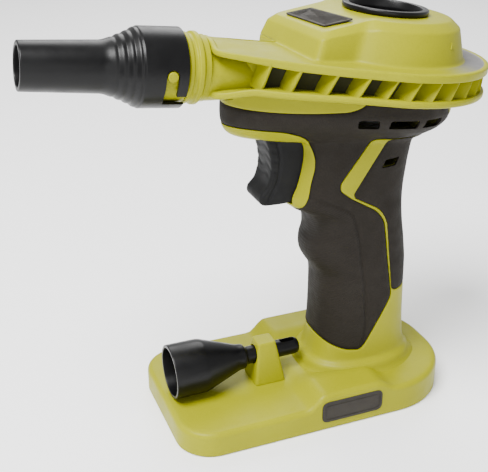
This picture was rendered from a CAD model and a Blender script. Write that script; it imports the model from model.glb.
"""Looks of the cordless air mattress pump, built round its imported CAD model.

Lengths are written in millimetres and scaled to metres as each mesh is made. "Head" coordinates are the
fan housing's own: a runs to the rear, b across to the right and c along the motor's axis.
"""
import math

import bmesh
import bpy
import numpy as np
from mathutils import Matrix, Vector


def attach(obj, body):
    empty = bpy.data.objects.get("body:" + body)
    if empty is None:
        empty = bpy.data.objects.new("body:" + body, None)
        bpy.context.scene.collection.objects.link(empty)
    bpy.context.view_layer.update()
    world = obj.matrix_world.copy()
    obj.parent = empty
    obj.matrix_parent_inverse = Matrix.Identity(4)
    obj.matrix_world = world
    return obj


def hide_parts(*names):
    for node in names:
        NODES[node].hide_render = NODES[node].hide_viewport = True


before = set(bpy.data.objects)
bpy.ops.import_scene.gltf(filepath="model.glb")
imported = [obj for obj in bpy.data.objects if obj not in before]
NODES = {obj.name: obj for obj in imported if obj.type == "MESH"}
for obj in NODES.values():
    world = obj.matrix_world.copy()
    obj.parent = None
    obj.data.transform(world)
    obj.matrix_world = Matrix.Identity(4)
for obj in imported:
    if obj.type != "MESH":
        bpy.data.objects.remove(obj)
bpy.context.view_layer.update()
MM = 0.001

# ------------------------------------------------------------------ driving dimensions, as in the CAD
HEAD_X, HEAD_Z = 56.05, 167.87
HEAD_TILT = math.radians(6.36)
HEAD = Matrix.Translation((HEAD_X * MM, 0, HEAD_Z * MM)) @ Matrix.Rotation(HEAD_TILT, 4, "Y")
RIM_R, RIM_TOP, LIP = 49.55, 7.2, 3.9
PLATE_TOP, PLATE_THICK = -4.2, 3.0
MIDDLE_TOP, MIDDLE_BOTTOM = -5.7, -9.1
HUMP_BASE_R, HUMP_TOP_R, ROOF = 38.0, 34.2, 24.2
HUMP_FRONT, HUMP_HALF_WIDTH, HUMP_SKEW = 46.4, 27.0, 0.07
PORT_R = 18.6
NOZZLE_REAR, NOZZLE_Z = -95.5, -2.75
SPIGOT_R = 14.1
NOZZLE = HEAD @ Matrix.Translation((NOZZLE_REAR * MM, 0, NOZZLE_Z * MM)) @ Matrix.Rotation(-math.pi / 2, 4, "Y")
STORED = Matrix.Translation((-49.4 * MM, -2.4 * MM, 26.7 * MM)) @ Matrix.Rotation(-math.pi / 2, 4, "Y")
LUG_R, LUG_AT, TWIST = 2.2, 7.0, math.radians(40.0)
VANE_SLANT, VANE_PITCH = math.radians(4.8), math.radians(12.0)
VANE_FIRST, VANE_COUNT = math.radians(-20.9), 22
STRAIGHT_VANES = ((-29.3, -42.9), (-41.5, -37.4), (-55.2, -30.8), (-66.3, -25.1))
VANE_SWIRL, STRAIGHT_VANE_TURN = math.radians(30.0), math.radians(-82.0)
BODY_TOP = -6.0
VENT_R, VENT_Z, VENTS = 35.0, -19.0, ((-37, -22), (-14, 10), (17, 36))
FOOT_FRONT, FOOT_REAR, FOOT_HALF_WIDTH = -53.4, 94.4, 40.0
TRIGGER_HALF_WIDTH = 8.8
SCREWS = ((-5.0, 154.6, 17.0), (32.0, 93.0, 17.0), (67.0, 48.0, 12.5))


# ------------------------------------------------------------------ small numeric tools
def ease(value):
    value = np.clip(value, 0.0, 1.0)
    return value * value * (3 - 2 * value)


def smooth_max(a, b, k):
    """The larger of two values, with a fillet of about k between them."""
    h = np.maximum(k - np.abs(a - b), 0.0) / k
    return np.maximum(a, b) + h * h * k / 4


def curve_through(points, per_span=6, closed=False):
    """A smooth line through the points (Catmull-Rom), as an array."""
    p = np.array(points, float)
    if closed:
        padded = np.vstack([p[-1], p, p[0], p[1]])
    else:
        padded = np.vstack([2 * p[0] - p[1], p, 2 * p[-1] - p[-2]])
    made = []
    for i in range(1, len(padded) - 2):
        a, b, c, d = padded[i - 1:i + 3]
        for step in range(per_span):
            t = step / per_span
            made.append(0.5 * (2 * b + (c - a) * t + (2 * a - 5 * b + 4 * c - d) * t ** 2
                               + (3 * b - a - 3 * c + d) * t ** 3))
    if not closed:
        made.append(p[-1])
    return np.array(made)


def rounded(points, radius, steps=5):
    """A closed outline with every corner rounded. Radius is one number or one for each point."""
    p = np.array(points, float)
    radii = np.broadcast_to(np.array(radius, float), (len(p),))
    made = []
    for i, corner in enumerate(p):
        before, after = p[i - 1] - corner, p[(i + 1) % len(p)] - corner
        lb, la = np.linalg.norm(before), np.linalg.norm(after)
        reach = min(radii[i], 0.45 * lb, 0.45 * la)
        if reach < 1e-3:
            made.append(corner)
            continue
        start, end = corner + before / lb * reach, corner + after / la * reach
        for step in range(steps + 1):
            t = step / steps
            made.append((1 - t) ** 2 * start + 2 * t * (1 - t) * corner + t * t * end)
    return np.array(made)


def rounded_rings(rings, radii, steps=4, closed=False):
    """Rings of a skin with the corner at each ring rounded by its own radius."""
    rings = [np.array(ring, float) for ring in rings]
    made = []
    for i, ring in enumerate(rings):
        ends = not closed and i in (0, len(rings) - 1)
        if ends or radii[i] <= 0:
            made.append(ring)
            continue
        before, after = rings[i - 1] - ring, rings[(i + 1) % len(rings)] - ring
        lb = np.linalg.norm(before, axis=1, keepdims=True) + 1e-9
        la = np.linalg.norm(after, axis=1, keepdims=True) + 1e-9
        reach = np.minimum(radii[i], 0.48 * np.minimum(lb, la))
        start, end = ring + before / lb * reach, ring + after / la * reach
        for step in range(steps + 1):
            t = step / steps
            made.append((1 - t) ** 2 * start + 2 * t * (1 - t) * ring + t * t * end)
    return made


def side_distance(points, outline):
    """Signed distance of (x, z) points to a closed outline, positive inside it."""
    a = np.array(outline, float)
    b = np.roll(a, -1, axis=0)
    best = np.full(len(points), 1e9)
    inside = np.zeros(len(points), bool)
    for (ax, az), (bx, bz) in zip(a, b):
        ex, ez = bx - ax, bz - az
        px, pz = points[:, 0] - ax, points[:, 1] - az
        t = np.clip((px * ex + pz * ez) / (ex * ex + ez * ez + 1e-12), 0, 1)
        best = np.minimum(best, np.hypot(px - t * ex, pz - t * ez))
        if bz != az:
            cross = (points[:, 1] < az) != (points[:, 1] < bz)
            inside ^= cross & (points[:, 0] < ex * (points[:, 1] - az) / ez + ax)
    return np.where(inside, best, -best)


# ------------------------------------------------------------------ mesh tools
def new_object(name, mesh, matrix=None, sharp=38):
    if matrix is not None:
        mesh.transform(matrix)
    made = bpy.data.objects.new(name, mesh)
    bpy.context.scene.collection.objects.link(made)
    shade(made, sharp)
    return made


def shade(piece, sharp=38):
    piece.data.shade_smooth()
    piece.data.set_sharp_from_angle(angle=math.radians(sharp))


def skin(name, rings, closed=False, matrix=None, bridged=False, sharp=38):
    """Skin equal rings of points in millimetres; closed joins the last ring to the first."""
    build = bmesh.new()
    rows = [[build.verts.new(Vector(point) * MM) for point in ring] for ring in rings]
    count = len(rows[0])
    pairs = list(zip(rows, rows[1:])) + ([(rows[-1], rows[0])] if closed else [])
    for low, high in pairs:
        for i in range(count):
            j = (i + 1) % count
            build.faces.new((low[i], low[j], high[j], high[i]))
    if not closed:
        build.faces.new(list(reversed(rows[0])))
        if bridged:
            last = rows[-1]
            for i in range(count // 2 - 1):
                build.faces.new((last[i], last[i + 1], last[count - 2 - i], last[count - 1 - i]))
        else:
            build.faces.new(rows[-1])
    bmesh.ops.remove_doubles(build, verts=build.verts, dist=1e-7)
    bmesh.ops.recalc_face_normals(build, faces=build.faces)
    mesh = bpy.data.meshes.new(name)
    build.to_mesh(mesh)
    build.free()
    return new_object(name, mesh, matrix, sharp)


def turned(name, profile, radius=0.0, steps=112, matrix=None, corner_steps=4):
    """Spin a closed (radius, height) profile about z, with its corners rounded."""
    solid = profile[0][0] == 0 and profile[-1][0] == 0
    radii = np.broadcast_to(np.array(radius, float), (len(profile),)).copy()
    if solid:
        radii[0] = radii[-1] = 0.0
    line = rounded(profile, radii, corner_steps)
    angles = np.arange(steps) * 2 * math.pi / steps
    rings = []
    for r, h in line:
        r = max(r, 0.002)
        rings.append(np.column_stack([r * np.cos(angles), r * np.sin(angles), np.full(steps, h)]))
    return skin(name, rings, closed=not solid, matrix=matrix)


def prism(name, outline, low, high, matrix=None, axis="Z", edge=0.0):
    """An outline extruded along z, or along y from (x, z) points, with rounded long edges."""
    flat = np.array(outline, float)
    rings = []
    if edge:
        inner = inset(flat, edge)
        levels = [(low, inner), (low, flat), (high, flat), (high, inner)]
    else:
        levels = [(low, flat), (high, flat)]
    for level, ring in levels:
        height = np.full(len(flat), float(level))
        columns = (ring[:, 0], height, ring[:, 1]) if axis == "Y" else (ring[:, 0], ring[:, 1], height)
        rings.append(np.column_stack(columns))
    if edge:
        rings = rounded_rings(rings, [0, edge, edge, 0], 4)
    return skin(name, rings, matrix=matrix)


def inset(outline, amount):
    """An outline moved inwards by an even amount."""
    p = np.array(outline, float)
    before, after = p - np.roll(p, 1, axis=0), np.roll(p, -1, axis=0) - p
    area = np.sum(p[:, 0] * np.roll(p[:, 1], -1) - np.roll(p[:, 0], -1) * p[:, 1])
    turn = 1.0 if area > 0 else -1.0
    before /= np.linalg.norm(before, axis=1, keepdims=True) + 1e-12
    after /= np.linalg.norm(after, axis=1, keepdims=True) + 1e-12
    normal = np.column_stack([-(before + after)[:, 1], (before + after)[:, 0]]) * turn
    normal /= np.linalg.norm(normal, axis=1, keepdims=True) + 1e-12
    return p + normal * amount


def block(name, low, high, matrix=None, edge=0.0):
    """A box with rounded edges all round."""
    (x0, y0, z0), (x1, y1, z1) = low, high
    base = [(x0, y0), (x1, y0), (x1, y1), (x0, y1)]
    outline = rounded(base, edge, 4) if edge else np.array(base, float)
    return prism(name, outline, z0, z1, matrix, edge=min(edge, abs(z1 - z0) / 2.2))


def settle(piece):
    """Apply a piece's modifiers."""
    bpy.context.view_layer.update()
    mesh = bpy.data.meshes.new_from_object(piece.evaluated_get(bpy.context.evaluated_depsgraph_get()))
    piece.modifiers.clear()
    old = piece.data
    piece.data = mesh
    bpy.data.meshes.remove(old)
    return piece


def combine(target, operation, *cutters, keep=False):
    """Apply Boolean steps, and remove the cutters unless they are kept for another piece."""
    for cutter in cutters:
        step = target.modifiers.new("Boolean", "BOOLEAN")
        step.object = cutter
        step.operation = operation
        step.solver = "MANIFOLD"
    settle(target)
    if not keep:
        for cutter in cutters:
            bpy.data.objects.remove(cutter, do_unlink=True)
    shade(target)
    return target


def duplicate(name, piece):
    made = bpy.data.objects.new(name, piece.data.copy())
    bpy.context.scene.collection.objects.link(made)
    return made


def mirror_copy(name, piece):
    made = duplicate(name, piece)
    made.data.transform(Matrix.Scale(-1.0, 4, (0.0, 1.0, 0.0)))
    made.data.flip_normals()
    shade(made)
    return made


def remeshed(piece, voxel, rounds):
    """One closed surface from overlapping solids, with its inner corners filleted by smoothing."""
    step = piece.modifiers.new("Remesh", "REMESH")
    step.mode = "VOXEL"
    step.voxel_size = voxel * MM
    step = piece.modifiers.new("Smooth", "SMOOTH")
    step.factor = 0.5
    step.iterations = rounds
    return settle(piece)


def coordinates(mesh):
    co = np.empty(len(mesh.vertices) * 3, np.float32)
    mesh.vertices.foreach_get("co", co)
    return co.reshape(-1, 3).astype(float)


def normals(mesh):
    found = np.empty(len(mesh.vertices) * 3, np.float32)
    mesh.vertex_normals.foreach_get("vector", found)
    return found.reshape(-1, 3).astype(float)


def move_points(mesh, co):
    mesh.vertices.foreach_set("co", co.astype(np.float32).ravel())
    mesh.update()


def grown(piece, name, amount):
    """A copy of a surface moved along its normals."""
    made = duplicate(name, piece)
    move_points(made.data, coordinates(made.data) + normals(made.data) * amount * MM)
    return made


def finish_piece(piece, body, slot, finish, *nodes):
    """Give a piece its material, its body, its record slot and the CAD nodes that it stands for."""
    piece.data.materials.clear()
    for one in finish if isinstance(finish, (list, tuple)) else [finish]:
        piece.data.materials.append(one)
    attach(piece, body)
    if nodes:
        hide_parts(*nodes)
    return piece


# ------------------------------------------------------------------ materials
class Nodes:
    """A short way to write a material's node tree."""

    def __init__(self, name):
        self.material = bpy.data.materials.new(name)
        self.material.use_nodes = True
        self.tree = self.material.node_tree
        self.shader = self.tree.nodes["Principled BSDF"]
        self.place = self.add("ShaderNodeTexCoord").outputs["Object"]

    def add(self, kind, inputs=None, **settings):
        node = self.tree.nodes.new(kind)
        for key, value in settings.items():
            setattr(node, key, value)
        for key, value in (inputs or {}).items():
            self.put(node.inputs[key], value)
        return node

    def put(self, socket, value):
        if isinstance(value, bpy.types.NodeSocket):
            self.tree.links.new(value, socket)
        else:
            socket.default_value = value

    def set(self, **values):
        for key, value in values.items():
            self.put(self.shader.inputs[key.replace("_", " ")], value)

    def noise(self, scale, detail=2.0, place=None):
        return self.add("ShaderNodeTexNoise", {"Vector": place or self.place, "Scale": scale,
                                               "Detail": detail}).outputs["Fac"]

    def spread(self, value, low, high, start=0.3, end=0.7):
        return self.add("ShaderNodeMapRange", {"Value": value, "From Min": start, "From Max": end,
                                               "To Min": low, "To Max": high}).outputs["Result"]

    def step(self, value, start, end):
        return self.add("ShaderNodeMapRange", {"Value": value, "From Min": start, "From Max": end},
                        interpolation_type="SMOOTHSTEP").outputs["Result"]

    def math(self, operation, a, b=0.0):
        return self.add("ShaderNodeMath", {0: a, 1: b}, operation=operation).outputs[0]

    def mix(self, share, first, second):
        node = self.add("ShaderNodeMix", data_type="RGBA")
        self.put(node.inputs[0], share)
        self.put(node.inputs[6], first if isinstance(first, bpy.types.NodeSocket) else (*first, 1.0))
        self.put(node.inputs[7], second if isinstance(second, bpy.types.NodeSocket) else (*second, 1.0))
        return node.outputs[2]

    def bump(self, height, depth, strength=1.0, below=None):
        inputs = {"Height": height, "Distance": depth * MM, "Strength": strength}
        if below is not None:
            inputs["Normal"] = below
        return self.add("ShaderNodeBump", inputs).outputs["Normal"]


def moulded(name, light, dark, roughness, grain=0.03, grain_scale=1500.0, coat=0.0):
    """Moulded plastic: slow tint changes, fine grain, slightly uneven gloss and dust in its pores."""
    n = Nodes(name)
    tint = n.mix(n.spread(n.noise(22.0, 4.0), 0.0, 1.0), light, dark)
    fine = n.noise(grain_scale, 3.0)
    tint = n.mix(n.spread(fine, 0.0, 0.16, 0.45, 0.75), tint, tuple(v * 0.6 for v in dark))
    n.set(Base_Color=tint, Roughness=n.spread(n.noise(140.0, 3.0), roughness - 0.05, roughness + 0.07),
          Normal=n.bump(fine, grain), Specular_IOR_Level=0.14)
    if coat:
        n.set(Coat_Weight=coat, Coat_Roughness=0.3)
    return n


YELLOW_LIGHT, YELLOW_DARK = (0.262, 0.262, 0.0001), (0.232, 0.229, 0.0001)
GREY_LIGHT, GREY_DARK = (0.0170, 0.0138, 0.0102), (0.0124, 0.0100, 0.0075)


def yellow_plastic():
    return moulded("lime_plastic", YELLOW_LIGHT, YELLOW_DARK, 0.40).material


def cover_plastic():
    """Lime plastic whose flat disc turns grey behind the hump, up to the raised lip."""
    n = moulded("lime_cover_plastic", YELLOW_LIGHT, YELLOW_DARK, 0.40)
    local = n.add("ShaderNodeMapping", {"Vector": n.place, "Location": (HEAD_X * MM, 0.0, HEAD_Z * MM),
                                        "Rotation": (0.0, HEAD_TILT, 0.0)}, vector_type="TEXTURE")
    parts = n.add("ShaderNodeSeparateXYZ", {"Vector": local.outputs[0]})
    a, b, c = parts.outputs
    radius = n.math("SQRT", n.math("ADD", n.math("MULTIPLY", a, a), n.math("MULTIPLY", b, b)))
    wide = n.math("MULTIPLY", n.step(radius, 0.0385, 0.0392), n.step(radius, 0.0475, 0.0472))
    level = n.math("MULTIPLY", n.step(c, 0.0060, 0.0064), n.step(c, 0.0079, 0.0075))
    share = n.math("MULTIPLY", n.math("MULTIPLY", wide, level), n.step(a, 0.004, 0.034))
    colour = n.shader.inputs["Base Color"].links[0].from_socket
    n.set(Base_Color=n.mix(share, colour, (0.120, 0.116, 0.116)))
    return n.material


def drum_plastic():
    """The shaded drum behind the vanes."""
    return moulded("drum_shade_plastic", (0.030, 0.030, 0.004), (0.018, 0.018, 0.003), 0.6).material


def grip_rubber(name="grip_soft_touch", ribbed=False):
    """Soft overmould with a pebbled skin; the finger panel adds fine diagonal ribs."""
    n = Nodes(name)
    cells = n.add("ShaderNodeTexVoronoi", {"Vector": n.place, "Scale": 1350.0}).outputs["Distance"]
    soft = n.noise(1100.0, 2.0)
    tint = n.mix(n.spread(n.noise(26.0, 4.0), 0.0, 1.0), GREY_LIGHT, GREY_DARK)
    tint = n.mix(n.spread(cells, 0.0, 0.5, 0.1, 0.7), tint, (0.0080, 0.0066, 0.0050))
    normal = n.bump(n.math("ADD", cells, soft), 0.06)
    if ribbed:
        turn = n.add("ShaderNodeMapping", {"Vector": n.place, "Rotation": (0.0, math.radians(-58.0), 0.0)})
        waves = n.add("ShaderNodeTexWave", {"Vector": turn.outputs[0], "Scale": 260.0, "Distortion": 0.3},
                      bands_direction="X").outputs["Fac"]
        tint = n.mix(n.spread(waves, 0.0, 0.4, 0.2, 0.8), tint, (0.014, 0.012, 0.010))
        normal = n.bump(waves, 0.07, below=normal)
    n.set(Base_Color=tint, Roughness=n.spread(n.noise(170.0, 3.0), 0.60, 0.74), Normal=normal)
    n.set(Specular_IOR_Level=0.12)
    return n.material


def black_plastic(name="black_satin_plastic", roughness=0.34, grain=0.02):
    n = moulded(name, (0.0026, 0.0026, 0.0028), (0.0018, 0.0018, 0.0020), roughness, grain, 1300.0)
    n.set(Specular_IOR_Level=0.2)
    return n.material


def metal(name, light, dark, roughness):
    """Metal with a drawn grain along its turning direction and faint tarnish."""
    n = Nodes(name)
    stretched = n.add("ShaderNodeMapping", {"Vector": n.place, "Scale": (1.0, 1.0, 14.0)})
    grain = n.noise(420.0, 4.0, stretched.outputs[0])
    n.set(Base_Color=n.mix(n.spread(n.noise(60.0, 4.0), 0.0, 1.0), light, dark), Metallic=1.0,
          Roughness=n.spread(grain, roughness - 0.08, roughness + 0.1), Normal=n.bump(grain, 0.01))
    return n.material


def rubber(name, colour):
    n = moulded(name, colour, tuple(v * 0.7 for v in colour), 0.6, 0.03, 900.0)
    return n.material


YELLOW = yellow_plastic()
COVER = cover_plastic()
DRUM = drum_plastic()
GRIP = grip_rubber()
RIBBED = grip_rubber("grip_ribbed_panel", ribbed=True)
NOZZLE_BLACK = black_plastic("nozzle_black_plastic", 0.33)
TRIM_BLACK = black_plastic("trim_black_plastic", 0.30, 0.015)
INNER_BLACK = black_plastic("inner_black_plastic", 0.5)
TRIGGER_BLACK = black_plastic("trigger_black_plastic", 0.62, 0.03)
STEEL = metal("drawn_steel", (0.60, 0.60, 0.61), (0.45, 0.45, 0.46), 0.32)
BRONZE = metal("sintered_bronze", (0.70, 0.52, 0.24), (0.52, 0.37, 0.16), 0.42)
COPPER = metal("bar_copper", (0.75, 0.36, 0.20), (0.55, 0.24, 0.13), 0.32)
BRASS = metal("contact_brass", (0.76, 0.60, 0.28), (0.60, 0.45, 0.20), 0.30)
FERRITE = rubber("sintered_ferrite", (0.035, 0.035, 0.037))
SEAL = rubber("seal_rubber", (0.014, 0.014, 0.015))
RED_WIRE = moulded("red_wire_insulation", (0.42, 0.02, 0.018), (0.34, 0.014, 0.012), 0.42).material
BLACK_WIRE = black_plastic("black_wire_insulation", 0.42)
BADGE = rubber("badge_plate", (0.034, 0.030, 0.025))


# ------------------------------------------------------------------ fan housing outlines
ANGLES = np.linspace(-math.pi, math.pi, 361)[:-1] + 0.0043
WING = curve_through([(-8.0, -49.0), (-20.2, -45.5), (-36.0, -39.9), (-52.5, -32.4), (-65.0, -26.2),
                      (-76.0, -20.2), (-82.0, -16.2), (-84.4, -12.6), (-84.7, -8.0)], 8)


def rim_radius():
    """The rim's circle, the wing that leaves it on the near side, and the roof over the duct."""
    reach = np.full(len(ANGLES), RIM_R)
    dx, dy = np.cos(ANGLES), np.sin(ANGLES)
    for (ax, ay), (bx, by) in zip(WING, WING[1:]):
        ex, ey = bx - ax, by - ay
        cross = dx * ey - dy * ex
        safe = np.where(np.abs(cross) < 1e-9, 1e-9, cross)
        along = (ax * ey - ay * ex) / safe
        share = (ax * dy - ay * dx) / safe
        hit = (along > 0) & (share >= -1e-6) & (share <= 1 + 1e-6)
        reach = np.where(hit, np.maximum(reach, along), reach)
    roof = np.minimum(84.5 / np.maximum(-dx, 1e-6), 10.0 / np.maximum(np.abs(dy), 1e-6))
    reach = np.maximum(reach, np.where(dx < 0, roof, 0.0))
    return np.maximum(reach, rounded_block(HUMP_FRONT + 0.3, HUMP_HALF_WIDTH + 0.3))


def rounded_block(front, half_width, corner=2.6):
    """Radial reach of the hump's block, a rectangle with rounded corners, on the nozzle's side."""
    low, high = np.zeros(len(ANGLES)), np.full(len(ANGLES), 70.0)
    c, s = -np.cos(ANGLES) - HUMP_SKEW * np.sin(ANGLES), np.abs(np.sin(ANGLES))
    for _ in range(30):
        middle = (low + high) / 2
        qx, qy = middle * c - front + corner, middle * s - half_width + corner
        out = np.hypot(np.maximum(qx, 0), np.maximum(qy, 0)) + np.minimum(np.maximum(qx, qy), 0) - corner
        low, high = np.where(out < 0, middle, low), np.where(out < 0, high, middle)
    return np.where(np.cos(ANGLES) < 0, low, 0.0)


def hump_radius(shrink, round_r):
    block = rounded_block(HUMP_FRONT - shrink, HUMP_HALF_WIDTH - shrink)
    return smooth_max(np.full(len(ANGLES), round_r), block, 1.6)


RIM = rim_radius()


def flare(x):
    return ease((-x - 50.0) / 38.0)


def crown(x, y):
    return ease((-x - 44.0) / 40.0) * ease((13.5 - np.abs(y)) / 11.0)


def cover_height(x, y):
    return RIM_TOP + 0.8 * flare(x) + 2.6 * crown(x, y)


def lip_bottom(x, y):
    return RIM_TOP - LIP + 2.2 * flare(x) + 2.6 * crown(x, y)


def plate_height(x, _y):
    return PLATE_TOP - 1.5 * ease((-x - 25.0) / 45.0) - 4.2 * ease((-x - 68.0) / 18.0)


def middle_top(x, _y):
    return np.full(len(x), MIDDLE_TOP)


def middle_bottom(x, _y):
    return np.full(len(x), MIDDLE_BOTTOM)


def roof_height(x, _y):
    return ROOF - 0.27 * np.maximum(0.0, -x - 18.2)


def wall_height(x, y):
    return roof_height(x, y) - 3.4 + ease((-x - 20.0) / 20.0)


def ring(radius, height, drop=0.0):
    """A ring round the head from a reach for each angle and a height rule."""
    x, y = radius * np.cos(ANGLES), radius * np.sin(ANGLES)
    return np.column_stack([x, y, height(x, y) - drop])


# ------------------------------------------------------------------ fan housing pieces
def make_cover():
    wall = 2.2
    port = np.full(len(ANGLES), PORT_R + 0.1)
    rings = [
        ring(RIM, lip_bottom), ring(RIM, cover_height), ring(RIM - 2.0, cover_height),
        ring(RIM - 2.5, cover_height, 0.45), ring(hump_radius(-0.4, HUMP_BASE_R + 0.3), cover_height, 0.45),
        ring(hump_radius(1.6, HUMP_TOP_R), wall_height), ring(hump_radius(4.6, HUMP_TOP_R - 4.4), roof_height),
        ring(port, roof_height), ring(port, roof_height, wall),
        ring(hump_radius(5.4, HUMP_TOP_R - 5.0), roof_height, wall),
        ring(hump_radius(3.8, HUMP_TOP_R - 2.2), wall_height, 0.8),
        ring(hump_radius(2.4, HUMP_BASE_R - 2.4), cover_height, wall), ring(RIM - 4.0, cover_height, wall),
    ]
    radii = [0.9, 1.0, 0.4, 0.4, 1.6, 0.8, 1.0, 0.3, 0.2, 0, 0, 0, 0]
    cover = skin("fan_cover_shell", rounded_rings(rings, radii, 4, closed=True), closed=True, matrix=HEAD)
    combine(cover, "UNION", port_mark())
    finish_piece(cover, "housing", "yellow_shell", COVER, "fan_cover")


def port_mark():
    """A small raised triangle on the hump's side that points at the port."""
    outline = rounded([(-1.5, 0.0), (1.5, 0.0), (0.0, 3.0)], 0.3, 3)
    mark = prism("port_mark", outline, -0.8, 0.35, edge=0.15)
    lean = math.atan((HUMP_BASE_R - HUMP_TOP_R) / 13.6)
    at = math.radians(-62.0)
    mark.data.transform(HEAD @ Matrix.Rotation(at, 4, "Z") @ Matrix.Translation((36.1 * MM, 0, 14.2 * MM))
                        @ Matrix.Rotation(math.pi / 2 - lean, 4, "Y") @ Matrix.Rotation(math.pi / 2, 4, "Z"))
    return mark


def vane(name, angle, reach, outward):
    """One vane: a thin plate with a rounded outer edge, whose top leans along the rim."""
    depth, half, steps = 9.4, 0.65, 5
    rings = []
    for level in np.linspace(0, 1, steps):
        shift = VANE_SLANT * (level - 0.5) * RIM_R
        x = reach * math.cos(angle) - math.sin(angle) * shift
        y = reach * math.sin(angle) + math.cos(angle) * shift
        low, high = plate_height(x, y) - 1.2, lip_bottom(x, y) + 0.8
        profile = rounded([(-depth, -half), (0.0, -half), (0.0, half), (-depth, half)], [0, 0.4, 0.4, 0], 3)
        rings.append([(x + math.cos(outward) * u - math.sin(outward) * v,
                       y + math.sin(outward) * u + math.cos(outward) * v, low + (high - low) * level)
                      for u, v in profile])
    return skin(name, rings, matrix=HEAD)


def duct_rings(rows, count=72, grow=0.0):
    """Oval sections along the duct: x, top, bottom and half width, drawn smoothly from a few rows."""
    made = []
    for x, top, bottom, half in curve_through(rows, 8):
        turn = np.arange(count) * 2 * math.pi / count
        made.append(np.column_stack([np.full(count, x), (half + grow) * np.cos(turn),
                                     (top + bottom) / 2 + ((top - bottom) / 2 + grow) * np.sin(turn)]))
    return made


def across_nozzle(side):
    """Turns a piece made along z to point out of the nozzle's collar at the lugs."""
    return Matrix.Translation((0, 0, LUG_AT * MM)) @ Matrix.Rotation(-side * math.pi / 2, 4, "X")


def make_volute():
    top, bottom, r = NOZZLE_Z + SPIGOT_R, NOZZLE_Z - SPIGOT_R, SPIGOT_R
    hub = np.full(len(ANGLES), 6.0)
    rings = [
        ring(RIM, plate_height, PLATE_THICK), ring(RIM, plate_height), ring(RIM * 0.6, middle_top),
        ring(hub, middle_top), ring(hub, middle_bottom), ring(RIM * 0.6, middle_bottom),
    ]
    rings = rounded_rings(rings, [1.3, 1.3, 0, 0, 0, 0], 5, closed=True)
    volute = skin("volute_shell", rings, closed=True, matrix=HEAD)
    share = 0.826
    drum = skin("drum", [
        ring(RIM * share, plate_height, 2.2), ring(RIM * share, lip_bottom, -0.3),
        ring(RIM * share - 2.0, lip_bottom, -0.3), ring(RIM * share - 2.0, plate_height, 2.2),
    ], closed=True, matrix=HEAD)
    duct = skin("duct", duct_rings([
        (-89.0, top - 3.9, bottom + 0.25, r - 0.7), (-82.0, top - 3.9, bottom + 0.35, r - 0.5),
        (-76.0, top - 3.6, bottom + 0.8, r - 0.4), (-62.0, top - 5.4, bottom + 2.2, r + 1.0),
        (-50.0, top - 6.4, bottom + 3.6, r + 2.0), (-36.5, top - 7.0, bottom + 5.0, r + 3.0)]), matrix=HEAD)
    spigot = turned("spigot", spigot_profile(), 0.35, matrix=NOZZLE)
    pieces = [drum, duct, spigot]
    for i in range(VANE_COUNT):
        angle = VANE_FIRST + i * VANE_PITCH - math.pi / 2
        pieces.append(vane(f"vane_{i}", angle, RIM_R - 1.6, angle + VANE_SWIRL))
    for i, (x, y) in enumerate(STRAIGHT_VANES):
        pieces.append(vane(f"straight_vane_{i}", math.atan2(y, x), math.hypot(x, y) - 1.2, STRAIGHT_VANE_TURN))
    for side in (-1, 1):
        lug = turned(f"lug_{side}", [(0, 17.2), (LUG_R, 17.2), (LUG_R, 12.0), (0, 12.0)], 0.4, 40)
        lug.data.transform(NOZZLE @ across_nozzle(side))
        pieces.append(lug)
    combine(volute, "UNION", *pieces)
    bore = skin("bore", duct_rings([
        (-117.0, NOZZLE_Z + 11.6, NOZZLE_Z - 11.6, 11.6), (-90.0, NOZZLE_Z + 8.0, NOZZLE_Z - 11.6, 10.6),
        (-62.0, 3.7, -10.4, 12.2), (-34.0, 2.0, -4.9, 13.6)]), matrix=HEAD)
    combine(volute, "DIFFERENCE", bore)
    finish_piece(volute, "housing", "yellow_shell", [YELLOW, DRUM], "volute_housing")
    darken_drum(volute, share)


def darken_drum(volute, share):
    """The drum's wall between the lips takes the shaded plastic."""
    back = HEAD.inverted()
    for face in volute.data.polygons:
        p = back @ face.center / MM
        n = back.to_3x3() @ face.normal
        angle = math.atan2(p.y, p.x)
        reach = float(np.interp(angle, ANGLES, RIM)) * share
        wall = abs(n.z) < 0.3 and abs(math.hypot(p.x, p.y) - reach) < 0.35
        face.material_index = int(wall and p.x > -66)


def spigot_profile():
    """Spigot with two ridges behind the nozzle's collar and a groove for its seal."""
    def at(x):
        return NOZZLE_REAR - x
    return [
        (0, at(-112.0)), (14.3, at(-112.0)), (14.3, at(-109.6)), (13.4, at(-109.6)), (13.4, at(-107.4)),
        (14.3, at(-107.4)), (14.3, at(-94.8)), (15.0, at(-94.4)), (15.0, at(-92.9)), (14.3, at(-92.4)),
        (14.3, at(-91.0)), (15.4, at(-90.4)), (15.4, at(-88.5)), (14.1, at(-87.6)), (14.1, at(-85.0)),
        (0, at(-85.0)),
    ]


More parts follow.
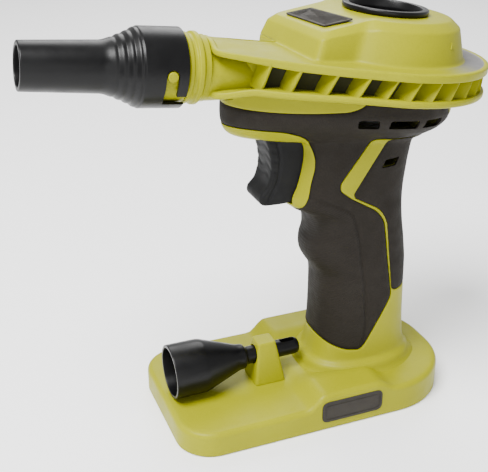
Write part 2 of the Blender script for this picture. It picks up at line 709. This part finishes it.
def make_port():
    port = turned("port_ring_trim", [
        (16.2, 17.6), (15.7, 23.5), (16.6, 26.8), (19.6, 26.8), (19.6, 25.0), (19.2, ROOF + 0.3),
        (18.2, ROOF + 0.3),
        (18.2, 17.6)], [0.2, 0.6, 0.5, 1.1, 0.5, 0.1, 0.1, 0.2], matrix=HEAD)
    finish_piece(port, "housing", "black_trim", TRIM_BLACK, "port_ring")
    screen = turned("port_screen_grille", [(13.8, 17.8), (13.8, 19.0), (15.8, 19.0), (15.8, 17.8)], 0.3, 96)
    parts = [turned("grille_ring_0", [(7.0, 17.9), (7.0, 18.9), (8.2, 18.9), (8.2, 17.9)], 0.25, 72),
             turned("grille_ring_1", [(10.4, 17.95), (10.4, 18.85), (11.3, 18.85), (11.3, 17.95)], 0.2, 72)]
    for i in range(6):
        bar = block(f"bar_{i}", (-14.4, -0.5, 17.9), (14.4, 0.5, 18.9), edge=0.2)
        bar.data.transform(Matrix.Rotation(math.radians(30 * i), 4, "Z"))
        parts.append(bar)
    combine(screen, "UNION", *parts)
    screen.data.transform(HEAD)
    finish_piece(screen, "housing", "black_plastic", INNER_BLACK, "port_screen")


def j_slots():
    """Cutters for the two L-shaped slots in the nozzle's collar."""
    width = LUG_R + 0.45
    pieces = []
    for side in (-1, 1):
        rings = []
        for i in range(17):
            angle = side * math.pi / 2 - (TWIST + 0.04) * i / 16
            rings.append([(r * math.cos(angle), r * math.sin(angle), LUG_AT + z)
                          for r, z in ((13.5, -width), (19.5, -width), (19.5, width), (13.5, width))])
        pieces.append(skin(f"slot_run_{side}", rings))
        wide = width + 0.12
        hole = turned(f"slot_hole_{side}", [(0, 19.5), (wide, 19.5), (wide, 13.5), (0, 13.5)], 0.0, 48)
        hole.data.transform(across_nozzle(side))
        pieces.append(hole)
        mouth = block(f"slot_mouth_{side}", (13.5, -width, -2.0), (19.5, width, LUG_AT + width - 0.3))
        mouth.data.transform(Matrix.Rotation(side * math.pi / 2 - TWIST, 4, "Z"))
        pieces.append(mouth)
    combine(pieces[0], "UNION", *pieces[1:])
    return pieces[0]


def make_nozzles():
    nozzle = turned("twist_nozzle", [
        (8.2, 66.5), (10.1, 66.5), (10.9, 32.6), (12.1, 29.2), (12.2, 27.9), (13.4, 26.3), (13.5, 24.6),
        (14.8, 23.0), (14.9, 21.6), (16.3, 20.0), (16.4, 18.9), (16.9, 18.2), (16.9, 0.0), (15.6, 0.0),
        (15.6, 17.6), (9.6, 30.0)],
        [0.5, 0.6, 1.6, 0.5, 0.3, 0.6, 0.3, 0.6, 0.3, 0.6, 0.3, 0.4, 0.7, 0.3, 1.0, 1.0], 128)
    combine(nozzle, "DIFFERENCE", j_slots())
    nozzle.data.transform(NOZZLE)
    finish_piece(nozzle, "nozzle", "black_nozzle", NOZZLE_BLACK, "main_nozzle")

    spare = turned("spare_nozzle_body", [
        (0, -68.2), (3.6, -67.8), (4.4, -65.6), (4.4, -39.6), (6.2, -38.2), (6.5, -35.0), (7.8, -31.6),
        (13.2, -16.6),
        (13.4, -14.6), (13.4, 0.0), (11.9, 0.0), (11.6, -15.5), (4.0, -29.0), (0, -29.6)],
        [0, 1.5, 1.0, 0.6, 0.8, 1.5, 4.0, 2.0, 1.0, 0.5, 0.3, 1.0, 1.0, 0], 112)
    hole = rounded([(-1.6, -66.0), (1.6, -66.0), (1.6, -58.0), (-1.6, -58.0)], 1.5, 6)
    slot = prism("tail_slot", hole, -8, 8)
    slot.data.transform(Matrix.Rotation(math.pi / 2, 4, "Z") @ Matrix.Rotation(math.pi / 2, 4, "X"))
    combine(spare, "DIFFERENCE", slot)
    spare.data.transform(STORED)
    finish_piece(spare, "spare_nozzle", "black_nozzle", NOZZLE_BLACK, "stored_nozzle")


# ------------------------------------------------------------------ body outlines
# Motor housing, an egg-shaped hull: height in the head, half width, reach to the nozzle and to the rear
HULL = (
    (-16.0, 35.0, 74.3, 38.0), (-20.0, 33.4, 74.2, 37.3), (-24.0, 29.6, 74.0, 35.0), (-27.0, 25.0, 73.5, 32.0),
    (-29.8, 21.5, 72.2, 28.4), (-32.0, 18.0, 69.6, 24.0), (-33.4, 14.0, 65.0, 18.5),
)

# Handle sections: height, front x, rear x, half width
HANDLE = (
    (8.0, 18.0, 86.0, 24.0), (14.5, 19.4, 84.4, 23.0), (18.0, 22.4, 81.0, 21.0),
    (24.0, 25.6, 77.6, 19.8), (38.0, 27.6, 76.0, 19.4), (58.0, 28.0, 75.2, 19.3),
    (68.0, 27.4, 74.9, 19.4), (73.0, 24.4, 74.7, 19.4), (78.0, 21.8, 74.1, 19.5), (84.0, 21.7, 73.2, 19.6),
    (89.0, 23.2, 72.2, 19.6), (95.0, 23.0, 71.3, 19.6), (101.0, 20.4, 70.8, 19.6),
    (105.0, 13.2, 71.0, 19.6), (108.0, 9.4, 71.1, 19.6), (112.0, 9.0, 71.3, 19.7),
    (117.0, 11.2, 71.7, 19.8), (124.0, 13.1, 72.4, 19.9), (132.0, 14.4, 73.6, 20.2),
    (138.0, 13.4, 75.0, 20.4), (144.0, 9.0, 76.4, 20.6), (150.0, 5.0, 77.4, 20.8),
)
# Grip skins, the finger panel's edge and the slot through the handle, seen from the side: x, z
FRONT_GRIP = rounded((
    (-34.0, 149.0), (-19.0, 148.9), (2.6, 147.6), (11.2, 144.4), (16.8, 139.6), (18.9, 135.2), (20.0, 130.8),
    (19.7, 126.0), (18.0, 119.2), (17.0, 113.6), (14.9, 108.0), (12.5, 105.2), (4.0, 103.6), (4.0, 42.0),
    (17.4, 40.8), (30.5, 30.9), (38.0, 28.0), (46.4, 27.1), (62.0, 54.5), (60.5, 62.4), (54.7, 96.7),
    (50.2, 102.7), (36.2, 111.0), (30.6, 115.6), (30.4, 119.0), (45.0, 140.2), (54.1, 138.9), (67.3, 137.9),
    (88.0, 137.2), (86.4, 142.0), (77.5, 156.0), (74.0, 166.0), (42.0, 170.5),
    (33.0, 159.4), (27.0, 157.4), (12.0, 157.4), (-34.0, 158.4),
), 3.0, 4)
REAR_GRIP = rounded((
    (53.4, 138.3), (37.6, 113.4), (38.2, 111.4), (52.4, 103.4), (56.6, 96.4), (62.0, 58.4),
    (64.4, 57.0), (90.0, 57.0), (90.0, 136.6), (67.3, 137.3)), (1.2, 1.0, 1.0, 4.0, 3.0, 1.2, 1.2, 0, 0, 0), 4)
FINGER_EDGE = curve_through([(14.0, 113.8), (24.0, 110.6), (37.0, 104.0), (41.1, 93.5), (43.6, 79.0),
                             (45.9, 65.9), (47.6, 50.0), (48.1, 38.0), (46.0, 26.0)], 6)
HANDLE_VENT = rounded([(51.0, 124.2), (59.2, 124.2), (61.2, 128.2), (53.0, 128.2)], 0.8, 3)
TRIGGER = (
    (-1.4, 145.5), (-0.8, 137.0), (0.3, 131.0), (0.6, 126.0), (-0.4, 120.6), (-1.7, 117.6), (-4.3, 114.8),
    (-5.0, 112.2), (-3.8, 110.0), (-0.4, 109.2), (9.5, 109.2), (12.5, 112.4), (15.6, 120.0), (17.6, 128.0),
    (18.0, 136.0), (17.0, 145.5),
)


def rounded_outline(front, rear, half, front_r, rear_r, shrink=0.0, steps=14, stations=()):
    """A plate's outline with a corner radius for each end, and extra points on its long sides."""
    front, rear, half = front + shrink, rear - shrink, half - shrink
    front_r = min(max(5.0, front_r - shrink), half - 0.2)
    rear_r = min(max(5.0, rear_r - shrink), half - 0.2)
    corners = ((rear - rear_r, half - rear_r, rear_r, 0.0), (front + front_r, half - front_r, front_r, 90.0),
               (front + front_r, front_r - half, front_r, 180.0), (rear - rear_r, rear_r - half, rear_r, 270.0))
    stations = np.clip(stations, front + front_r, rear - rear_r)
    points = []
    for x, y, radius, start in corners:
        for i in range(steps + 1):
            angle = math.radians(start + 90.0 * i / steps)
            points.append((x + radius * math.cos(angle), y + radius * math.sin(angle)))
        if start == 0.0:
            points += [(station, half) for station in stations]
        if start == 180.0:
            points += [(station, -half) for station in stations[::-1]]
    return np.array(points)


def foot_top(x, y):
    """Height of the foot: low in front, with a raised shoulder on each side."""
    rear = 12.8 + 2.25 * ease((x - 8.0) / 10.0)
    shoulder = ease((x - 7.5) / 9.5) * (1 - ease((x - 45.5) / 11.0)) * ease((np.abs(y) - 10.0) / 16.0)
    return rear + 4.8 * shoulder


def foot_solid(name, shrink, drop, base, edge=2.6):
    stations = np.arange(56.5, -33.0, -2.5)

    def ring(extra, lower):
        outline = rounded_outline(FOOT_FRONT, FOOT_REAR, FOOT_HALF_WIDTH, 17.6, 35.0, shrink + extra,
                                  18, stations)
        x, y = outline.T
        return np.column_stack([x, y, foot_top(x, y) - drop - lower])
    rings = [ring(0.7, 0.0), ring(0.0, 0.0)]
    rings[0][:, 2], rings[1][:, 2] = base, base + 0.7
    for turn in np.radians(np.arange(0, 91, 15)):
        rings.append(ring(edge * (1 - math.cos(turn)), edge * (1 - math.sin(turn))))
    rings += [ring(extra, 0.0) for extra in np.arange(edge + 2.0, 35.0 - shrink, 2.4)]
    return skin(name, rings, bridged=True)


def superellipse(height, front, rear, half_width, shrink=0.0, count=96, power=2.6):
    middle, half_depth, half_width = (front + rear) / 2, (rear - front) / 2 - shrink, half_width - shrink
    angle = np.arange(count) * 2 * math.pi / count
    c, s = np.cos(angle), np.sin(angle)
    x = middle + np.sign(c) * np.abs(c) ** (2 / power) * half_depth
    return np.column_stack([x, np.sign(s) * np.abs(s) ** (2 / power) * half_width, np.full(count, height)])


def handle_solid(name, shrink=0.0, per_span=5, count=96):
    return skin(name, [superellipse(*row, shrink, count) for row in curve_through(HANDLE, per_span)])


def hull_solid(name, shrink=0.0, top=BODY_TOP, count=120):
    """The motor's housing under the fan: an egg that reaches forward over the trigger."""
    rows = [(top, *HULL[0][1:])] + [(height + shrink, half, front, rear) for height, half, front, rear in
                                    curve_through(HULL, 5)]
    angle = np.arange(count) * 2 * math.pi / count
    rings = []
    for height, half, front, rear in rows:
        reach = np.where(np.cos(angle) > 0, rear, front) - shrink
        x, y = reach * np.cos(angle), (half - shrink) * np.sin(angle)
        rings.append(np.column_stack([x, y, np.full(count, height)]))
    return skin(name, rings, matrix=HEAD)


def collar_solid():
    """The step round the handle's base, flaring into the foot."""
    levels = curve_through([(11.0, 34.0, 28.0), (14.6, 32.6, 26.6), (15.6, 31.2, 25.3), (17.2, 30.4, 24.4),
                            (19.0, 29.8, 23.8), (20.4, 28.6, 22.6), (20.9, 26.6, 20.6)], 4)
    return skin("collar", [superellipse(z, 51.0 - a, 51.0 + a, b, 0.0, 96, 2.3) for z, a, b in levels])


def gathered(name, pieces):
    """Overlapping solids in one mesh, ready for remeshing."""
    build = bmesh.new()
    for piece in pieces:
        build.from_mesh(piece.data)
        bpy.data.objects.remove(piece, do_unlink=True)
    mesh = bpy.data.meshes.new(name)
    build.to_mesh(mesh)
    build.free()
    return new_object(name, mesh)


def line_distance(points, line):
    """Distance of (x, z) points to an open line."""
    best = np.full(len(points), 1e9)
    for (ax, az), (bx, bz) in zip(line, line[1:]):
        ex, ez = bx - ax, bz - az
        px, pz = points[:, 0] - ax, points[:, 1] - az
        t = np.clip((px * ex + pz * ez) / (ex * ex + ez * ez), 0, 1)
        best = np.minimum(best, np.hypot(px - t * ex, pz - t * ez))
    return best


def edge_drop(distance, width, depth):
    """How far a surface falls towards an edge that is `distance` away, for a rounded edge."""
    share = np.clip(distance / width, 0, 1)
    return depth * (1 - np.sqrt(1 - (1 - share) ** 2))


def shaped_skin(name, surface, grips):
    """The body surface with the edges of its grips rounded, for the grips themselves or for the shell."""
    made = duplicate(name, surface)
    co, out = coordinates(made.data) / MM, normals(made.data)
    side = co[:, [0, 2]]
    front, rear = side_distance(side, FRONT_GRIP), side_distance(side, REAR_GRIP)
    near = np.maximum(front, rear)
    if grips:
        drop = edge_drop(np.maximum(near, 0), 1.3, 0.6)
        groove = np.clip(1 - line_distance(side, FINGER_EDGE) / 1.5, 0, 1)
        panel = side_distance(side, FINGER_PANEL)
        drop = drop + 0.65 * ease(groove) * (front > 0) - 0.25 * ease(panel / 2.0) * (front > 1.0)
    else:
        drop = edge_drop(np.maximum(-near, 0), 0.9, 0.45)
    flat = np.abs(out[:, 2]) > 0.97
    drop = np.where(flat & (co[:, 2] < 30), 0, drop)
    move_points(made.data, (co - out * drop[:, None]) * MM)
    return made


FINGER_PANEL = np.vstack([FINGER_EDGE, [(0.0, 26.0), (0.0, 112.0)]])


def vents():
    """Three slots on each side of the motor housing and one through the handle."""
    pieces = []
    for side in (-1, 1):
        for start, end in VENTS:
            middle, half = math.radians((start + end) / 2), math.radians((end - start) / 2) * VENT_R
            outline = rounded([(-half, -2.1), (half, -2.1), (half, 2.1), (-half, 2.1)], 1.0, 4)
            slot = prism(f"vent_{side}_{start}", outline, 22.0, 44.0, axis="Y")
            turn = -side * middle + (0 if side > 0 else math.pi)
            slot.data.transform(HEAD @ Matrix.Translation((0, 0, VENT_Z * MM)) @ Matrix.Rotation(turn, 4, "Z"))
            pieces.append(slot)
    pieces.append(prism("handle_vent", HANDLE_VENT, -30, 30, axis="Y"))
    return gathered("vents", pieces)


def plate_room():
    """The space taken by the lower rim plate and the duct, with a small clearance."""
    room = skin("plate_room", [
        ring(np.full(len(ANGLES), 10.0), middle_bottom, 0.35), ring(RIM * 0.6, middle_bottom, 0.35),
        ring(RIM + 0.4, plate_height, PLATE_THICK + 0.35),
        ring(RIM + 0.4, lambda x, y: np.full(len(x), 2.0))], matrix=HEAD)
    top, bottom, r = NOZZLE_Z + SPIGOT_R, NOZZLE_Z - SPIGOT_R, SPIGOT_R
    duct = skin("duct_room", duct_rings([
        (-89.0, top - 3.2, bottom + 0.25, r - 0.7), (-76.0, top - 3.6, bottom + 0.8, r - 0.4),
        (-62.0, top - 5.4, bottom + 2.2, r + 1.0), (-36.5, top - 7.0, bottom + 5.0, r + 3.0)],
        grow=0.5), matrix=HEAD)
    return combine(room, "UNION", duct)


def rod(name, radius, x, z, low, high, steps=40):
    """A round bar across the body, from y low to y high."""
    made = turned(name, [(0, -high), (radius, -high), (radius, -low), (0, -low)], 0.0, steps)
    made.data.transform(Matrix.Translation((x * MM, 0, z * MM)) @ Matrix.Rotation(math.pi / 2, 4, "X"))
    return made


def region(name, outline):
    return prism(name, outline, -60.0, -0.02, axis="Y")


def inner_surface(name, surface, depth):
    made = grown(surface, name, -depth)
    step = made.modifiers.new("Decimate", "DECIMATE")
    step.ratio = 0.25
    return settle(made)


def make_body():
    surface = remeshed(gathered("body_surface", [
        handle_solid("handle"), hull_solid("hull"), collar_solid()]), 0.8, 8)
    shell_skin = shaped_skin("shell_skin", surface, False)
    grip_skin = shaped_skin("grip_skin", surface, True)
    grip_core = inner_surface("grip_core", surface, 1.3)
    pocket_core = inner_surface("pocket_core", surface, 1.6)
    holes, room = vents(), plate_room()
    foot = foot_solid("left_shell", 0.0, 0.0, 0.0)
    half = combine(foot, "UNION", shell_skin)
    combine(half, "DIFFERENCE", handle_solid("handle_hollow", 3.4, 2, 48))
    combine(half, "DIFFERENCE", hull_solid("hull_hollow", 3.4, -3.3, 64))
    combine(half, "DIFFERENCE", foot_solid("foot_hollow", 3.0, 3.0, -3.0))
    for i, (x, z, reach) in enumerate(SCREWS):
        combine(half, "UNION", rod(f"boss_{i}", 4.5, x, z, -reach, reach))
    slot = prism("trigger_slot", [(-5.5, 108.4), (24.0, 108.4), (24.0, 147.5), (-5.5, 147.5)],
                 -TRIGGER_HALF_WIDTH - 0.6, TRIGGER_HALF_WIDTH + 0.6, axis="Y")
    grips = []
    for label, outline in (("front", FRONT_GRIP), ("rear", REAR_GRIP)):
        pocket = region(f"{label}_pocket", inset(outline, -0.3))
        combine(pocket, "DIFFERENCE", pocket_core, keep=True)
        combine(half, "DIFFERENCE", pocket)
        grip = duplicate(f"left_{label}_skin", grip_skin)
        combine(grip, "INTERSECT", region(f"{label}_region", outline))
        combine(grip, "DIFFERENCE", grip_core, holes, room, slot, keep=True)
        grips.append((label, grip))
    far_side = block("far_side", (-120, -0.02, -10), (120, 60, 240))
    combine(half, "DIFFERENCE", holes, room, keep=True)
    combine(half, "DIFFERENCE", slot, far_side)
    for i, (x, z, _) in enumerate(SCREWS):
        combine(half, "DIFFERENCE", rod(f"pilot_{i}", 1.5, x, z, -9.0, 9.0, 24))
    wells = gathered("wells", [rod(f"well_{i}", 3.3, x, z, 6.3, 40.0) for i, (x, z, _) in enumerate(SCREWS)])
    right = mirror_copy("right_shell", half)
    combine(right, "DIFFERENCE", wells, keep=True)
    for shell, node in ((half, "left_housing"), (right, "right_housing")):
        finish_piece(shell, "housing", "yellow_shell", [YELLOW, DRUM], node)
        darken_inside(shell)
    for label, grip in grips:
        twin = mirror_copy(f"right_{label}_skin", grip)
        combine(twin, "DIFFERENCE", wells, keep=True)
        for side, piece in (("left", grip), ("right", twin)):
            finish_piece(piece, "housing", "grip_rubber", [GRIP, RIBBED], f"{side}_{label}_grip")
            if label == "front":
                rib_panel(piece)
    for tool in (surface, grip_skin, grip_core, pocket_core, holes, room, wells):
        bpy.data.objects.remove(tool, do_unlink=True)


def darken_inside(shell):
    """The hull's inner faces, seen through the vents, take the shaded plastic."""
    centres = np.empty(len(shell.data.polygons) * 3, np.float32)
    shell.data.polygons.foreach_get("center", centres)
    back = np.array(HEAD.inverted())
    p = (centres.reshape(-1, 3) @ back[:3, :3].T + back[:3, 3]) / MM
    reach = np.where(p[:, 0] > 0, 36.8, 73.0)
    inside = ((p[:, 0] / reach) ** 2 + (p[:, 1] / 33.8) ** 2 < 0.93) & (np.abs(p[:, 2] - VENT_Z) < 4.0)
    world = centres.reshape(-1, 3) / MM
    inside |= (side_distance(world[:, [0, 2]], HANDLE_VENT) > -0.3) & (np.abs(world[:, 1]) < 18.6)
    shell.data.polygons.foreach_set("material_index", inside.astype(np.int32))


def rib_panel(piece):
    """The finger panel takes the ribbed finish."""
    mesh = piece.data
    centres = np.empty(len(mesh.polygons) * 3, np.float32)
    mesh.polygons.foreach_get("center", centres)
    side = centres.reshape(-1, 3)[:, [0, 2]] / MM
    mesh.polygons.foreach_set("material_index", (side_distance(side, FINGER_PANEL) > 0.6).astype(np.int32))


# ------------------------------------------------------------------ trigger, holder and badges
def make_trigger():
    """Rounded trigger: wavy ribs on its front pad, and a groove between the pad and the smooth sides."""
    outline = curve_through(TRIGGER, 6, closed=True)
    paddle = prism("trigger_paddle", outline, -TRIGGER_HALF_WIDTH, TRIGGER_HALF_WIDTH, axis="Y", edge=2.2)
    body = remeshed(paddle, 0.55, 3)
    co, out = coordinates(body.data) / MM, normals(body.data)
    side = co[:, [0, 2]]
    edge = curve_through([(3.0, 146.0), (3.4, 139.0), (4.8, 133.0), (4.6, 126.0), (3.4, 120.0),
                          (-0.6, 112.0)], 6)
    pad = side_distance(side, np.vstack([edge, [(-20, 112), (-20, 146)]]))
    groove = 0.55 * ease(1 - line_distance(side, edge) / 1.1) * (np.abs(co[:, 1]) > 5)
    phase = (co[:, 2] + 0.9 * np.sin(co[:, 1] * 0.55) + 0.25 * co[:, 0]) * 2 * math.pi / 4.6
    ribs = 0.26 * np.clip(np.sin(phase), -0.55, 1) * ease(pad / 1.5) * ease((co[:, 2] - 120.5) / 4)
    move_points(body.data, (co - out * (groove + np.maximum(-ribs, 0) * 1.4)[:, None]) * MM)
    combine(body, "DIFFERENCE", block("spring_room", (10.2, -5.9, 106.0), (30.0, 5.9, 122.4)))
    stem = turned("trigger_stem", [(0, -24.2), (2.0, -24.2), (2.0, -6.0), (0, -6.0)], [0, 0.4, 0, 0], 40)
    stem.data.transform(Matrix.Translation((0, 0, 116.2 * MM)) @ Matrix.Rotation(-math.pi / 2, 4, "Y"))
    combine(body, "UNION", stem)
    finish_piece(body, "trigger", "black_trim", TRIGGER_BLACK, "trigger")


def make_holder():
    """Sloping block on the foot that the spare nozzle's neck slides into."""
    y, top = -2.4, 34.2
    rear, front = foot_top(8.8, y) + 0.3, foot_top(-7.4, y) + 0.3

    def level(x0, x1, half, z0, z1, radius):
        flat = rounded([(x0, y - half), (x1, y - half), (x1, y + half), (x0, y + half)], radius, 4)
        return np.column_stack([flat, z0 + (z1 - z0) * (flat[:, 0] - x0) / (x1 - x0)])
    rings = [level(-7.4, 8.8, 8.4, front, rear, 1.6), level(-7.3, 8.6, 8.35, front + 0.5, rear + 0.5, 1.6),
             level(-4.8, 4.8, 4.6, top, top, 1.6), level(-3.3, 3.3, 3.1, top, top, 0.6)]
    holder = skin("nozzle_cradle", rounded_rings(rings, [0, 0, 1.3, 0], 5))
    bore = turned("holder_bore", [(0, -20), (4.9, -20), (4.9, 20), (0, 20)], 0.0, 64)
    bore.data.transform(Matrix.Translation((0, y * MM, 26.7 * MM)) @ Matrix.Rotation(math.pi / 2, 4, "Y"))
    combine(holder, "DIFFERENCE", bore)
    finish_piece(holder, "housing", "yellow_shell", YELLOW, "nozzle_holder")


def framed_plate(name, outline, thick, line, width):
    """A plain plate with a raised border round a recessed middle."""
    plate = prism(name, outline, 0.0, thick, edge=min(0.2, thick / 3))
    recess = prism(f"{name}_line", inset(outline, line), thick - 0.22, thick + 1)
    middle = prism(f"{name}_middle", inset(outline, line + width), -0.1, thick + 2)
    combine(recess, "DIFFERENCE", middle)
    return combine(plate, "DIFFERENCE", recess)


def make_badges():
    outline = rounded([(-38.6, -16.6), (-25.2, -17.8), (-30.2, 13.8), (-42.2, 15.4)], 1.2, 4)
    badge = framed_plate("roof_plate", outline, 0.6, 1.0, 0.7)
    slope = Matrix.Translation((-18.2 * MM, 0, ROOF * MM)) @ Matrix.Rotation(-math.atan(0.27), 4, "Y")
    badge.data.transform(HEAD @ slope @ Matrix.Translation((18.2 * MM, 0, 0.3 * MM)))
    finish_piece(badge, "housing", "badge", BADGE, "roof_badge")
    badge.data.shade_flat()

    outline = rounded([(15.2, 4.4), (48.0, 4.4), (48.0, 16.0), (15.2, 16.0)], 3.6, 8)
    plate = framed_plate("foot_plate", outline, 0.75, 1.3, 1.1)
    plate.data.transform(Matrix.Translation((0, -39.6 * MM, 0)) @ Matrix.Rotation(math.pi / 2, 4, "X"))
    finish_piece(plate, "housing", "badge", BADGE)
    plate.data.shade_flat()


def keep_inner_parts():
    """The working parts inside stay as they are in the CAD, with softened edges and their own finishes."""
    finishes = {
        "impeller": INNER_BLACK, "motor_end_cap": INNER_BLACK, "switch_body": INNER_BLACK,
        "switch_guide": INNER_BLACK, "terminal_block": INNER_BLACK, "impeller_nut": STEEL, "motor_can": STEEL,
        "motor_shaft": STEEL, "armature": STEEL, "motor_screw_front": STEEL, "motor_screw_rear": STEEL,
        "trigger_spring": STEEL, "housing_screw_1": STEEL, "housing_screw_2": STEEL, "housing_screw_3": STEEL,
        "front_bearing": BRONZE, "rear_bearing": BRONZE, "commutator": COPPER, "magnet_left": FERRITE,
        "magnet_right": FERRITE, "port_gasket": SEAL, "motor_gasket": SEAL, "spigot_seal": SEAL,
        "battery_contact_1": BRASS, "battery_contact_2": BRASS, "battery_contact_3": BRASS,
        "battery_lead_red": RED_WIRE, "motor_lead_red": RED_WIRE, "battery_lead_black": BLACK_WIRE,
        "motor_lead_black": BLACK_WIRE,
    }
    for name, finish in finishes.items():
        piece = NODES[name]
        piece.data.materials.clear()
        piece.data.materials.append(finish)
        weld = piece.modifiers.new("Weld", "WELD")
        weld.merge_threshold = 1e-5
        bevel = piece.modifiers.new("Bevel", "BEVEL")
        bevel.width = 0.12 * MM
        bevel.segments = 2
        bevel.limit_method = "ANGLE"
        bevel.angle_limit = math.radians(40)


# ------------------------------------------------------------------ floor, light and camera
def make_stage():
    n = Nodes("pale_floor")
    n.set(Base_Color=n.mix(n.spread(n.noise(3.0, 4.0), 0.0, 1.0), (0.985, 0.985, 0.985), (0.97, 0.97, 0.972)),
          Roughness=n.spread(n.noise(9.0), 0.75, 0.85))
    floor = skin("floor", [[(-3000, -3000, -30), (4000, -3000, -30), (4000, 5000, -30), (-3000, 5000, -30)],
                           [(-3000, -3000, 0), (4000, -3000, 0), (4000, 5000, 0), (-3000, 5000, 0)]])
    floor.data.materials.append(n.material)
    world = bpy.data.worlds.new("studio")
    world.use_nodes = True
    world.node_tree.nodes["Background"].inputs["Color"].default_value = (1.0, 1.0, 1.0, 1.0)
    world.node_tree.nodes["Background"].inputs["Strength"].default_value = 0.8
    bpy.context.scene.world = world
    for name, place, size, power in (
            ("key_light", (-450, -250, 1000), 0.6, 30.0), ("fill_light", (-300, -1100, 350), 0.9, 4.0),
            ("back_light", (300, 900, 900), 0.9, 10.0)):
        lamp = bpy.data.lights.new(name, "AREA")
        lamp.shape = "DISK"
        lamp.size = size
        lamp.energy = power
        made = bpy.data.objects.new(name, lamp)
        bpy.context.scene.collection.objects.link(made)
        made.location = Vector(place) * MM
        aim = Vector((0, 0, 0.1)) - made.location
        made.rotation_euler = aim.to_track_quat("-Z", "Y").to_euler()


def make_camera():
    """The photo's camera: yaw, pitch and roll in degrees, focal length in the photo's pixels."""
    yaw, pitch, roll = (math.radians(angle) for angle in (-21.41, 25.67, -0.19))
    back = Vector((math.sin(yaw) * math.cos(pitch), -math.cos(yaw) * math.cos(pitch), math.sin(pitch)))
    right = Vector((0, 0, 1)).cross(back).normalized()
    up = back.cross(right)
    level = right * math.cos(roll) + up * math.sin(roll)
    upright = up * math.cos(roll) - right * math.sin(roll)
    lens = bpy.data.cameras.new("photo_camera")
    lens.sensor_width = 36.0
    lens.lens = 900.0 / 488.0 * 36.0
    lens.clip_start = 0.01
    camera = bpy.data.objects.new("photo_camera", lens)
    bpy.context.scene.collection.objects.link(camera)
    turn = Matrix((level, upright, back)).transposed().to_4x4()
    camera.matrix_world = Matrix.Translation((-0.149, -0.35597, 0.27563)) @ turn
    bpy.context.scene.camera = camera


make_cover()
make_volute()
make_port()
make_nozzles()
make_body()
make_trigger()
make_holder()
make_badges()
keep_inner_parts()
make_stage()
make_camera()
